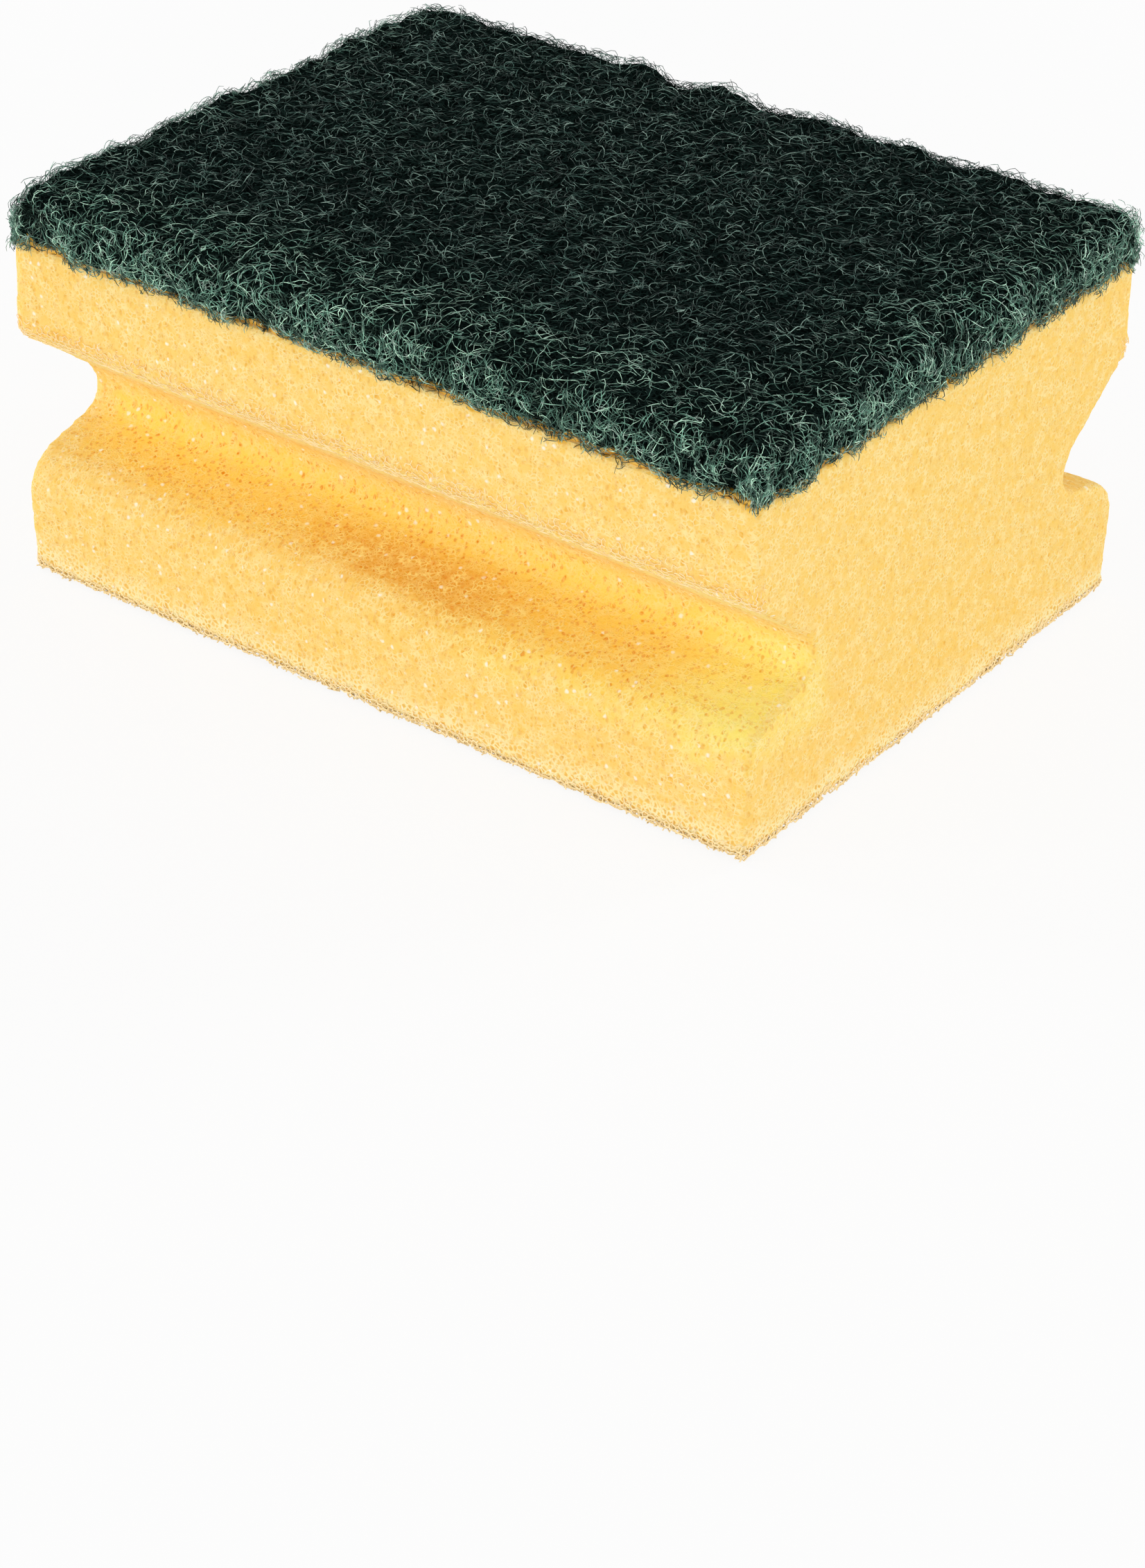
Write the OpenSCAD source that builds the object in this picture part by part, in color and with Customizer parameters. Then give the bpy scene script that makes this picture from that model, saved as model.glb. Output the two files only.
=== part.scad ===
// Household cleaning sponge: a block of open-cell foam with a finger groove
// along each long side, and a nonwoven scouring pad glued to its top.
// Millimetres. +X runs along the sponge, +Z up, and the origin is the centre
// of the face that it rests on.

/* [Foam block] */
// Length of the foam block
foam_l = 94; // [60:1:200]
// Width of the foam block, over both long sides
foam_w = 69; // [52:1:140]
// Height of the foam block
foam_h = 39; // [31:0.5:70]
// Radius of the foam's four upright corners
foam_corner_r = 1.8; // [0.5:0.1:5]

/* [Finger grooves] */
// Height of the solid lip under each groove
lower_lip_h = 13; // [8:0.5:18]
// Height of the groove where it opens on the long side
mouth_h = 14.8; // [9:0.2:19]
// Depth of the groove, from the long side
groove_d = 11; // [4:0.5:18]
// Height of the flat at the groove's deepest point
flat_h = 4; // [2:0.5:8]
// How much lower that flat sits than the middle of the mouth
flat_drop = 2; // [0:0.1:3]
// Radius of the two lips, where the groove meets the long side
lip_r = 2.4; // [0.4:0.1:4]
// Radius of the two corners inside the groove
root_r = 2.5; // [0.4:0.1:4]

/* [Scouring pad] */
// Thickness of the pad
pad_t = 5.6; // [3:0.1:14]
// How far the pad stands out past the foam on each side
pad_overhang = 0.5; // [0:0.1:2]
// Radius of the pad's four upright corners
pad_corner_r = 2.6; // [2:0.1:8]
// Radius of the softened edge round the pad's top
pad_edge_r = 1.5; // [0.4:0.1:2.5]

/* [Glue line] */
// Thickness of the adhesive between foam and pad
bond_t = 0.4; // [0.1:0.1:1]
// How far the adhesive stays back from the foam's edge
bond_inset = 0.3; // [0:0.1:1.5]

/* [Hidden] */
$fn = 64;

// the adhesive lies on the foam, and the pad lies on the adhesive
bond_z = foam_h;
pad_z = bond_z + bond_t;
pad_l = foam_l + 2 * pad_overhang;
pad_w = foam_w + 2 * pad_overhang;

// how far a cut runs out past the face that it opens on
past = 5;
// how far a fillet's arc crosses its two sides, so that they meet cleanly
crossing = 0.002;

// the corners of the groove's section, as [depth in from the long side, height]
upper_lip_h = foam_h - lower_lip_h - mouth_h;
flat_z = lower_lip_h + mouth_h / 2 - flat_drop;
lip_low = [0, lower_lip_h];
root_low = [groove_d, flat_z - flat_h / 2];
root_high = [groove_d, flat_z + flat_h / 2];
lip_high = [0, lower_lip_h + mouth_h];

// an arc is held to what its lip, or the flat between two roots, has room for
lip_arc = min(lip_r, 0.45 * lower_lip_h, 0.45 * upper_lip_h);
root_arc = min(root_r, 0.65 * flat_h);

// A fillet of radius r in the corner at v, between its neighbours a and b:
// how far from v it starts, its two ends, and the centre of its arc
function unit(from, to) = (to - from) / norm(to - from);
function half_angle(a, v, b) = acos(unit(v, a) * unit(v, b)) / 2;
function fillet_reach(a, v, b, r) = r / tan(half_angle(a, v, b));
function fillet_ends(a, v, b, r) =
    [for (side = [a, b]) v + unit(v, side) * fillet_reach(a, v, b, r)];
function fillet_centre(a, v, b, r) =
    let (middle = unit(v, a) + unit(v, b))
    v + middle / norm(middle) * r / sin(half_angle(a, v, b));

// The disc whose rim is a fillet's arc
module fillet_disc(a, v, b, r) {
    translate(fillet_centre(a, v, b, r)) circle(r = r + crossing);
}

// The groove's section, open to the left: two straight walls that close in
// on a short flat, the upper one steeper. The polygon has its corners cut
// across, and the discs round them: two fill the roots out, two shape the lips.
module groove_section() {
    below = lip_low - [0, past];
    above = lip_high + [0, past];
    lower_lip = fillet_ends(below, lip_low, root_low, lip_arc);
    upper_lip = fillet_ends(root_high, lip_high, above, lip_arc);
    difference() {
        union() {
            polygon(concat(
                [lower_lip[0] - [past, 0]],
                lower_lip,
                fillet_ends(lip_low, root_low, root_high, root_arc),
                fillet_ends(root_low, root_high, lip_high, root_arc),
                upper_lip,
                [upper_lip[1] - [past, 0]]
            ));
            fillet_disc(lip_low, root_low, root_high, root_arc);
            fillet_disc(root_low, root_high, lip_high, root_arc);
        }
        fillet_disc(below, lip_low, root_low, lip_arc);
        fillet_disc(root_high, lip_high, above, lip_arc);
    }
}

// The groove's section, run along the left long side and past both ends
module groove_cut() {
    translate([-foam_l / 2 - past, -foam_w / 2, 0])
        rotate([90, 0, 90])
            linear_extrude(foam_l + 2 * past) groove_section();
}

// A plan l by w, centred, with its corners rounded by true arcs
module rounded_plan(l, w, r) {
    square([l - 2 * r, w], center = true);
    square([l, w - 2 * r], center = true);
    for (x = [-1, 1], y = [-1, 1])
        translate([x * (l / 2 - r), y * (w / 2 - r)]) circle(r = r);
}

// An upright profile half_w wide and h high from the middle out, with its
// upper outer edge rounded
module soft_profile(half_w, h, r) {
    square([half_w, h - r]);
    square([half_w - r, h]);
    intersection() {
        square([half_w, h]);
        translate([half_w - r, h - r]) circle(r = r);
    }
}

// A slab l by w by h with upright corners of corner_r, whose top edge is
// rounded to edge_r all the way round
module soft_slab(l, w, h, corner_r, edge_r) {
    straight_l = l - 2 * corner_r;
    straight_w = w - 2 * corner_r;
    for (turn = [0, 180]) rotate(turn) {
        translate([0, straight_w / 2, 0]) rotate([90, 0, 0])
            linear_extrude(straight_w) soft_profile(l / 2, h, edge_r);
        translate([-straight_l / 2, 0, 0]) rotate([90, 0, 90])
            linear_extrude(straight_l) soft_profile(w / 2, h, edge_r);
    }
    for (x = [-1, 1], y = [-1, 1])
        translate([x * straight_l / 2, y * straight_w / 2, 0])
            rotate_extrude() soft_profile(corner_r, h, edge_r);
}

module foam_body() {
    color("#ffdb84")
    difference() {
        linear_extrude(foam_h) rounded_plan(foam_l, foam_w, foam_corner_r);
        groove_cut();
        mirror([0, 1, 0]) groove_cut();
    }
}

module bond_film() {
    color("#e39a2c")
    translate([0, 0, bond_z])
        linear_extrude(bond_t)
            rounded_plan(foam_l - 2 * bond_inset, foam_w - 2 * bond_inset, foam_corner_r);
}

module scouring_pad() {
    color("#1d3b39")
    translate([0, 0, pad_z])
        soft_slab(pad_l, pad_w, pad_t, pad_corner_r, pad_edge_r);
}

foam_body();
bond_film();
scouring_pad();
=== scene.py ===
import math

import bmesh
import bpy
import numpy as np
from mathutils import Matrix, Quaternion, Vector, noise
from mathutils.bvhtree import BVHTree


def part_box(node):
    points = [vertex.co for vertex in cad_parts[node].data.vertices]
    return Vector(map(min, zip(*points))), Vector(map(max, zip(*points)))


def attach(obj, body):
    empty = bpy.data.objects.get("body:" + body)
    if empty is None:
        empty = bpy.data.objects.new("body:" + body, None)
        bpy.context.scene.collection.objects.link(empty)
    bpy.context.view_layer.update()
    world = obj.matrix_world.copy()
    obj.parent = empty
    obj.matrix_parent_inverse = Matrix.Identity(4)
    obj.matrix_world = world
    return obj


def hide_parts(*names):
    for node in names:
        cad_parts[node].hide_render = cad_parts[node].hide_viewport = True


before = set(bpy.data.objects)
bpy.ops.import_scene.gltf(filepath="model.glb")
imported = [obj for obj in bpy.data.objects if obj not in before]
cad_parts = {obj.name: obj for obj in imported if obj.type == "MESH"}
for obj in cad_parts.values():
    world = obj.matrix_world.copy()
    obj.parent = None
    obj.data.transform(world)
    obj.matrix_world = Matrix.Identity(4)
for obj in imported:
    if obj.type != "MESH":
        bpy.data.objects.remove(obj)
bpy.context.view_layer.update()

mm = 0.001
foamLow, foamHigh = (Vector(corner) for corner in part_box("foam_body"))
filmLow, filmHigh = (Vector(corner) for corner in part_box("bond_film"))
padLow, padHigh = (Vector(corner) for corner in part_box("scouring_pad"))
scene = bpy.context.scene


# small helpers for objects

def addObject(name, data):
    piece = bpy.data.objects.new(name, data)
    scene.collection.objects.link(piece)
    return piece


def finishMesh(name, bm):
    bmesh.ops.recalc_face_normals(bm, faces=bm.faces)
    for face in bm.faces:
        face.smooth = True
    mesh = bpy.data.meshes.new(name)
    bm.to_mesh(mesh)
    bm.free()
    return addObject(name, mesh)


def applyModifiers(piece):
    bpy.context.view_layer.update()
    graph = bpy.context.evaluated_depsgraph_get()
    mesh = bpy.data.meshes.new_from_object(piece.evaluated_get(graph))
    piece.modifiers.clear()
    piece.data = mesh


def report(piece):
    triangles = sum(len(face.vertices) - 2 for face in piece.data.polygons)
    print(piece.name, "has", triangles, "triangles")


def pushVertices(piece, distance):    # distance(point) gives the way along each normal
    points = [vert.co.copy() for vert in piece.data.vertices]
    normals = [item.vector.copy() for item in piece.data.vertex_normals]
    for vert, point, normal in zip(piece.data.vertices, points, normals):
        vert.co = point + normal * distance(point)


# small helpers for materials

def newMaterial(name):
    material = bpy.data.materials.new(name)
    material.use_nodes = True
    tree = material.node_tree
    return material, tree, tree.nodes["Principled BSDF"]


def feed(tree, socket, value):
    if isinstance(value, bpy.types.NodeSocket):
        tree.links.new(value, socket)
    else:
        socket.default_value = value


def addNode(tree, kind, inputs, **settings):
    node = tree.nodes.new("ShaderNode" + kind)
    for name, value in settings.items():
        setattr(node, name, value)
    for name, value in inputs.items():
        feed(tree, node.inputs[name], value)
    return node


def calculate(tree, operation, *values):
    node = tree.nodes.new("ShaderNodeMath")
    node.operation = operation
    for slot, value in enumerate(values):
        feed(tree, node.inputs[slot], value)
    return node.outputs[0]


def product(tree, first, *others):
    for other in others:
        first = calculate(tree, "MULTIPLY", first, other)
    return first


def fade(tree, value, start, end, low=0.0, high=1.0):    # a soft step from low to high
    inputs = {"Value": value, "From Min": start, "From Max": end, "To Min": low, "To Max": high}
    return addNode(tree, "MapRange", inputs, interpolation_type="SMOOTHSTEP").outputs[0]


def mixColours(tree, share, first, second, blend="MIX"):
    node = tree.nodes.new("ShaderNodeMix")
    node.data_type = "RGBA"
    node.blend_type = blend
    node.clamp_factor = True
    feed(tree, node.inputs[0], share)
    feed(tree, node.inputs[6], first)
    feed(tree, node.inputs[7], second)
    return node.outputs[2]


def combine(tree, operation, first, second):    # two vectors
    return addNode(tree, "VectorMath", {0: first, 1: second}, operation=operation).outputs[0]


def stretch(tree, vector, scale):
    return addNode(tree, "VectorMath", {0: vector, "Scale": scale}, operation="SCALE").outputs[0]


def objectPosition(tree):
    return tree.nodes.new("ShaderNodeTexCoord").outputs["Object"]


def axes(tree, position):
    return addNode(tree, "SeparateXYZ", {"Vector": position}).outputs


def noiseColour(tree, position, scale, detail):
    inputs = {"Vector": position, "Scale": scale, "Detail": detail}
    return addNode(tree, "TexNoise", inputs).outputs["Color"]


def noiseValue(tree, position, scale, detail=2.0, roughness=0.5):
    inputs = {"Vector": position, "Scale": scale, "Detail": detail, "Roughness": roughness}
    return addNode(tree, "TexNoise", inputs).outputs["Fac"]


def centredNoise(tree, position, scale, detail, roughness, width):    # noise about zero
    value = calculate(tree, "SUBTRACT", noiseValue(tree, position, scale, detail, roughness), 0.5)
    return calculate(tree, "MULTIPLY", value, width)


def cellWalls(tree, position, scale):    # 0 on the walls between cells, more inside a cell
    inputs = {"Vector": position, "Scale": scale}
    return addNode(tree, "TexVoronoi", inputs, feature="DISTANCE_TO_EDGE").outputs["Distance"]


def cellSpots(tree, position, scale):    # distance from each cell's middle, and a chance for each cell
    cell = addNode(tree, "TexVoronoi", {"Vector": position, "Scale": scale})
    chance = addNode(tree, "SeparateColor", {"Color": cell.outputs["Color"]}).outputs[0]
    return cell.outputs["Distance"], chance


# camera, floor and lights

cameraPlan = {
    "aim": (25.27 * mm, -32.92 * mm, 0.0),
    "distance": 370.5 * mm,
    "azimuth": 36.42,       # degrees from the front, towards the right end
    "elevation": 32.8,
    "roll": 0.94,
    "lens": 85.33,
    "clip": (0.01, 50.0),
}

floorPlan = {
    "half": 6.0,
    "shade": (0.93, 0.93, 0.93, 1),
    "roughness": 0.9,
    "gloss": 0.1,
    # near the sponge the floor keeps a little of its shadow, and further off it is plain white
    "glowFade": (0.12, 0.6, 0.88, 1.0),
}

lightPlan = {
    "world": 0.61,
    "distance": 0.8,
    "size": 0.26,
    "aimHeight": 0.6,       # as a share of the foam's height
    # name: azimuth, elevation, watts
    "lamps": {
        "key": (37.0, 9.0, 1.45),
        "leftFill": (-35.0, 10.0, 1.15),
        "rightFill": (105.0, 14.0, 0.7),
        "farRight": (155.0, 16.0, 1.5),
        "farLeft": (280.0, 16.0, 1.5),
    },
}


def spotAround(aim, azimuth, elevation, distance):
    turn = math.radians(azimuth)
    rise = math.radians(elevation)
    way = Vector((math.sin(turn) * math.cos(rise), -math.cos(turn) * math.cos(rise), math.sin(rise)))
    return Vector(aim) + way * distance, way


def makeCamera():
    data = bpy.data.cameras.new("camera")
    data.lens = cameraPlan["lens"]
    data.clip_start, data.clip_end = cameraPlan["clip"]
    camera = addObject("camera", data)
    spot, way = spotAround(cameraPlan["aim"], cameraPlan["azimuth"], cameraPlan["elevation"],
                           cameraPlan["distance"])
    roll = Quaternion((0, 0, 1), math.radians(cameraPlan["roll"]))
    camera.rotation_mode = "QUATERNION"
    camera.rotation_quaternion = way.to_track_quat("Z", "Y") @ roll
    camera.location = spot
    scene.camera = camera


def seenPlainly(tree):    # 1 for the camera and for mirrored or transmitted views, 0 for light
    path = tree.nodes.new("ShaderNodeLightPath").outputs
    seen = calculate(tree, "MAXIMUM", path["Is Camera Ray"], path["Is Glossy Ray"])
    return calculate(tree, "MAXIMUM", seen, path["Is Transmission Ray"])


def makeFloor():
    bm = bmesh.new()
    bmesh.ops.create_grid(bm, x_segments=2, y_segments=2, size=floorPlan["half"])
    floor = finishMesh("floor", bm)
    material, tree, shader = newMaterial("paleFloor")
    shader.inputs["Base Color"].default_value = floorPlan["shade"]
    shader.inputs["Roughness"].default_value = floorPlan["roughness"]
    shader.inputs["Specular IOR Level"].default_value = floorPlan["gloss"]
    glow = addNode(tree, "Emission", {"Color": (1, 1, 1, 1), "Strength": 1.0})
    away = addNode(tree, "VectorMath", {0: objectPosition(tree)}, operation="LENGTH").outputs["Value"]
    share = product(tree, seenPlainly(tree), fade(tree, away, *floorPlan["glowFade"]))
    blend = addNode(tree, "MixShader", {0: share, 1: shader.outputs[0], 2: glow.outputs[0]})
    tree.links.new(blend.outputs[0], tree.nodes["Material Output"].inputs["Surface"])
    floor.data.materials.append(material)


def makeWorld():
    world = bpy.data.worlds.new("studio")
    world.use_nodes = True
    scene.world = world
    tree = world.node_tree
    background = tree.nodes["Background"]
    background.inputs["Color"].default_value = (1, 1, 1, 1)
    strength = fade(tree, seenPlainly(tree), 0.0, 1.0, lightPlan["world"], 1.0)
    tree.links.new(strength, background.inputs["Strength"])


def makeLamps():
    aim = (0, 0, foamHigh.z * lightPlan["aimHeight"])
    for name, (azimuth, elevation, watts) in lightPlan["lamps"].items():
        data = bpy.data.lights.new(name, "AREA")
        data.shape = "SQUARE"
        data.size = lightPlan["size"]
        data.energy = watts
        lamp = addObject(name, data)
        spot, way = spotAround(aim, azimuth, elevation, lightPlan["distance"])
        lamp.location = spot
        lamp.rotation_mode = "QUATERNION"
        lamp.rotation_quaternion = way.to_track_quat("Z", "Y")


makeCamera()
makeFloor()
makeWorld()
makeLamps()
scene.view_settings.view_transform = "Standard"
print("camera, floor and lights are in place")


# the foam block

foamPlan = {
    "lowerLip": 13.0 * mm,      # height of the lower lip
    "mouth": 15.6 * mm,         # height of the groove's mouth
    "depth": 11.0 * mm,         # how far the groove goes in
    "flat": 3.8 * mm,           # height of the groove's back wall
    "flatDrop": 2.5 * mm,       # how far the back wall sits under the mouth's middle
    "lowerFillets": (4.5 * mm, 2.4 * mm),    # at the lip and at the root
    "upperFillets": (2.2 * mm, 4.0 * mm),
    "cornerRadius": 1.0 * mm,
    "filletSteps": 8,
    "cornerSteps": 4,
    "baseCut": 1.1 * mm,        # the solid part is cut off here, and open cells fill the edge
    "voxel": 0.66 * mm,
    "softening": 6,
    "lipBand": 2.4 * mm,        # open cells also show this far from the upper lip
    "slow": (0.12, 9.0),        # height and length of the slow unevenness, in mm
    "fine": (0.09, 0.9),
    "lipFine": 0.5,             # added to the fine height on the upper lip
    "flatTop": 0.3 * mm,        # the top stays flat under the glue from here up
}

cellPlan = {
    "netSpacing": 0.70 * mm,    # size of the cells in the skin of the edges
    "netCut": 0.6 * mm,
    "netJitter": 0.27,          # in mm
    "flatter": 0.6,             # share of the jitter that is taken off along the normal
    "lipRaise": (0.1 * mm, 3.0),         # height, and how quickly the lip's net reaches it
    "lipChance": 1.2,
    "standOff": 0.06 * mm,      # struts nearer to the block than this don't show
    "netTop": 0.9 * mm,         # how far above the base cut the lower net reaches
    "netFoot": (0.4 * mm, 0.35 * mm),    # mean height and raggedness of its lower rim
    "netLowest": 0.1 * mm,
    "underPad": 0.6 * mm,       # no struts this near to the top
    "latticeSize": 0.85 * mm,   # size of the cells that fill the lower edges
    "latticeHeight": 3.0 * mm,
    "latticeStart": -0.3 * mm,
    "latticeJitter": 0.12 * mm,
    "latticeFoot": (0.25 * mm, 0.35 * mm),
    "latticeLowest": 0.08 * mm,
    "latticeLap": 0.4 * mm,     # how far it reaches into the solid part
    "latticeInset": 0.05 * mm,
    "thickness": 0.18 * mm,
    "lipThickness": 0.1 * mm,
    "longestTrail": 14,         # nodes in one joined run of struts
}

touching = 0.01 * mm    # points nearer than this are the same


def rippleField(rng, waves, shortest, longest):    # a smooth random height, mostly -1 to 1
    turn = rng.uniform(0, 2 * math.pi, waves)
    length = np.exp(rng.uniform(math.log(shortest), math.log(longest), waves))
    phase = rng.uniform(0, 2 * math.pi, waves)
    way = np.stack([np.cos(turn), np.sin(turn)]) * (2 * math.pi / length)
    def field(plan):
        return np.sin(plan @ way + phase).sum(axis=-1) / math.sqrt(waves)
    return field


raggedField = rippleField(np.random.default_rng(9), 12, 0.9 * mm, 3.5 * mm)


def sectionCorners():    # one side of the section as (depth, height, fillet)
    plan = foamPlan
    middle = plan["lowerLip"] + plan["mouth"] / 2 - plan["flatDrop"]
    lowerLip, lowerRoot = plan["lowerFillets"]
    upperLip, upperRoot = plan["upperFillets"]
    return [
        (0.0, plan["lowerLip"], lowerLip),
        (plan["depth"], middle - plan["flat"] / 2, lowerRoot),
        (plan["depth"], middle + plan["flat"] / 2, upperRoot),
        (0.0, plan["lowerLip"] + plan["mouth"], upperLip),
    ]


def tangentLength(before, corner, after, radius):
    turn = (before - corner).angle(after - corner)
    return radius / math.tan(turn / 2)


def cutFoamShape(baseCut):    # the section is drawn once, pushed along the length and rounded
    half = foamHigh.y
    side = [Vector((half - deep, high)) for deep, high, fillet in sectionCorners()]
    outline = [Vector((half, 0.0))] + side + [Vector((half, foamHigh.z))]
    fillets = [0.0] + [fillet for deep, high, fillet in sectionCorners()] + [0.0]
    mirrored = [Vector((-point.x, point.y)) for point in reversed(outline)]
    bm = bmesh.new()
    ring = [bm.verts.new((foamLow.x, point.x, point.y)) for point in outline + mirrored]
    cap = bm.faces.new(ring)
    grown = bmesh.ops.extrude_face_region(bm, geom=[cap])
    moved = [item for item in grown["geom"] if isinstance(item, bmesh.types.BMVert)]
    bmesh.ops.translate(bm, verts=moved, vec=(foamHigh.x - foamLow.x, 0, 0))
    for sign in (1, -1):
        for index in range(1, len(outline) - 1):
            corner = outline[index]
            reach = tangentLength(outline[index - 1], corner, outline[index + 1], fillets[index])
            spot = Vector((corner.x * sign, corner.y))
            edges = [edge for edge in bm.edges
                     if all((Vector(vert.co.yz) - spot).length < touching for vert in edge.verts)]
            bmesh.ops.bevel(bm, geom=edges, offset=reach, segments=foamPlan["filletSteps"],
                            profile=0.5, affect="EDGES", material=-1)
    uprights = []
    for edge in bm.edges:
        first, second = (vert.co for vert in edge.verts)
        if (first.xy - second.xy).length < touching and abs(first.y) > half - touching:
            uprights.append(edge)
    bmesh.ops.bevel(bm, geom=uprights, offset=foamPlan["cornerRadius"],
                    segments=foamPlan["cornerSteps"], profile=0.5, affect="EDGES", material=-1)
    lowest = [edge for edge in bm.edges
              if len(edge.link_faces) == 2 and all(vert.co.z < touching for vert in edge.verts)]
    bmesh.ops.bevel(bm, geom=lowest, offset=baseCut, segments=1, profile=0.5,
                    affect="EDGES", material=-1)
    return bm


def lipShare(point):    # 1 on the edge of the upper lip, 0 away from it
    high = abs(point.z - foamPlan["lowerLip"] - foamPlan["mouth"])
    inside = foamHigh.y - abs(point.y)
    return max(0.0, 1.0 - max(high, inside) / foamPlan["lipBand"])


def remeshed(name, bm, voxel, smoothing):
    piece = finishMesh(name, bm)
    remesh = piece.modifiers.new("Remesh", "REMESH")
    remesh.mode = "VOXEL"
    remesh.voxel_size = voxel
    soften = piece.modifiers.new("Soften", "SMOOTH")
    soften.factor = 0.5
    soften.iterations = smoothing
    applyModifiers(piece)
    return piece


def foamUnevenness(point):
    if point.z > foamHigh.z - foamPlan["flatTop"]:
        return 0.0
    slowHeight, slowLength = foamPlan["slow"]
    fineHeight, fineLength = foamPlan["fine"]
    fineHeight += foamPlan["lipFine"] * lipShare(point)
    slow = slowHeight * mm * noise.noise(point / (slowLength * mm))
    return slow + fineHeight * mm * noise.noise(point / (fineLength * mm))


def makeFoamBlock():
    block = remeshed("foamBlock", cutFoamShape(foamPlan["baseCut"]), foamPlan["voxel"],
                     foamPlan["softening"])
    pushVertices(block, foamUnevenness)
    for vert in block.data.vertices:
        vert.co.z = max(vert.co.z, 0.0)
    return block


def joinStruts(links):    # struts that share a node are joined end to end
    spots = {}
    waiting = {}
    for first, second in links:
        keys = [tuple(np.round(np.array(end) / touching).astype(int)) for end in (first, second)]
        for key, other, end in zip(keys, reversed(keys), (first, second)):
            spots[key] = end
            waiting.setdefault(key, []).append(other)
    trails = []
    for start in waiting:
        while waiting[start]:
            spot = start
            trail = [spots[spot]]
            while waiting[spot] and len(trail) < cellPlan["longestTrail"]:
                following = waiting[spot].pop()
                waiting[following].remove(spot)
                spot = following
                trail.append(spots[spot])
            trails.append(np.array(trail))
    return trails


def netStruts(rng, block):    # cell walls along the edges, as the dual of a jittered triangle mesh
    piece = remeshed("cellNet", cutFoamShape(cellPlan["netCut"]), cellPlan["netSpacing"], 0)
    solid = BVHTree.FromObject(block, bpy.context.evaluated_depsgraph_get())
    bm = bmesh.new()
    bm.from_mesh(piece.data)
    bpy.data.objects.remove(piece)
    lipHeight, quickness = cellPlan["lipRaise"]
    for vert in bm.verts:
        jolt = Vector(rng.uniform(-1, 1, 3)) * cellPlan["netJitter"] * mm
        raised = lipHeight * min(1.0, lipShare(vert.co) * quickness)
        vert.co += jolt + vert.normal * (raised - jolt.dot(vert.normal) * cellPlan["flatter"])
    bmesh.ops.triangulate(bm, faces=bm.faces, quad_method="SHORT_EDGE")
    centre = {face.index: face.calc_center_median() for face in bm.faces}
    footHeight, footWander = cellPlan["netFoot"]
    netTop = foamPlan["baseCut"] + cellPlan["netTop"]
    baseStruts = []
    lipStruts = []
    for edge in bm.edges:
        ends = [centre[face.index] for face in edge.link_faces]
        middle = (ends[0] + ends[1]) / 2
        lowest = footHeight + footWander * raggedField(np.array(middle.xy))
        lowest = max(cellPlan["netLowest"], lowest)
        if middle.z > foamHigh.z - cellPlan["underPad"] or min(ends[0].z, ends[1].z) < lowest:
            continue
        gap = solid.find_nearest(middle)[3]
        if gap > cellPlan["standOff"] and middle.z < netTop:
            baseStruts.append(np.array(ends))
        elif rng.random() < lipShare(middle) * cellPlan["lipChance"]:
            lipStruts.append(np.array(ends))
    bm.free()
    return baseStruts, lipStruts


def latticeStruts(rng):    # tetrakaidecahedral cells that fill the lower edges
    size = cellPlan["latticeSize"]
    quarter = [(1, 0, 2), (1, 2, 0), (0, 1, 2), (2, 1, 0), (0, 2, 1), (2, 0, 1),
               (3, 0, 2), (3, 2, 0), (0, 3, 2), (2, 3, 0), (0, 2, 3), (2, 0, 3)]
    sites = np.array(quarter) / 4
    room = np.array([foamHigh.x * 2, foamHigh.y * 2, cellPlan["latticeHeight"]])
    counts = np.ceil(room / size).astype(int) + 1
    grid = np.stack(np.meshgrid(*[np.arange(count) for count in counts], indexing="ij"), axis=-1)
    nodes = (grid[:, :, :, None, :] + sites) * size
    nodes += np.array([foamLow.x, foamLow.y, cellPlan["latticeStart"]])
    nodes += rng.normal(0, cellPlan["latticeJitter"], nodes.shape)
    cut = foamPlan["baseCut"]
    footHeight, footWander = cellPlan["latticeFoot"]
    outside = (np.abs(nodes[..., :2]) - np.array([foamHigh.x, foamHigh.y])).max(axis=-1)
    uneven = footWander * raggedField(nodes[..., :2])
    kept = outside - nodes[..., 2] > -cut - cellPlan["latticeLap"]
    kept &= outside < -cellPlan["latticeInset"]
    lowest = footHeight + uneven + 0.6 * outside
    kept &= nodes[..., 2] > np.maximum(cellPlan["latticeLowest"], lowest)
    strutLength = math.sqrt(2) / 4    # between neighbouring nodes of a cell of size 1
    struts = []
    for first in range(len(sites)):
        for second in range(len(sites)):
            for shift in np.ndindex(3, 3, 3):
                step = np.array(shift) - 1
                gap = sites[second] + step - sites[first]
                if abs(np.linalg.norm(gap) - strutLength) > 0.01 or tuple(gap) < (0, 0, 0):
                    continue    # no neighbours, or a pair that comes the other way round
                near = tuple(slice(max(0, -way), count - max(0, way))
                             for way, count in zip(step, counts))
                far = tuple(slice(max(0, way), count + min(0, way))
                            for way, count in zip(step, counts))
                both = kept[near][..., first] & kept[far][..., second]
                pairs = np.stack([nodes[near][..., first, :][both],
                                  nodes[far][..., second, :][both]], axis=1)
                struts.extend(pairs)
    return struts


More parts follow.
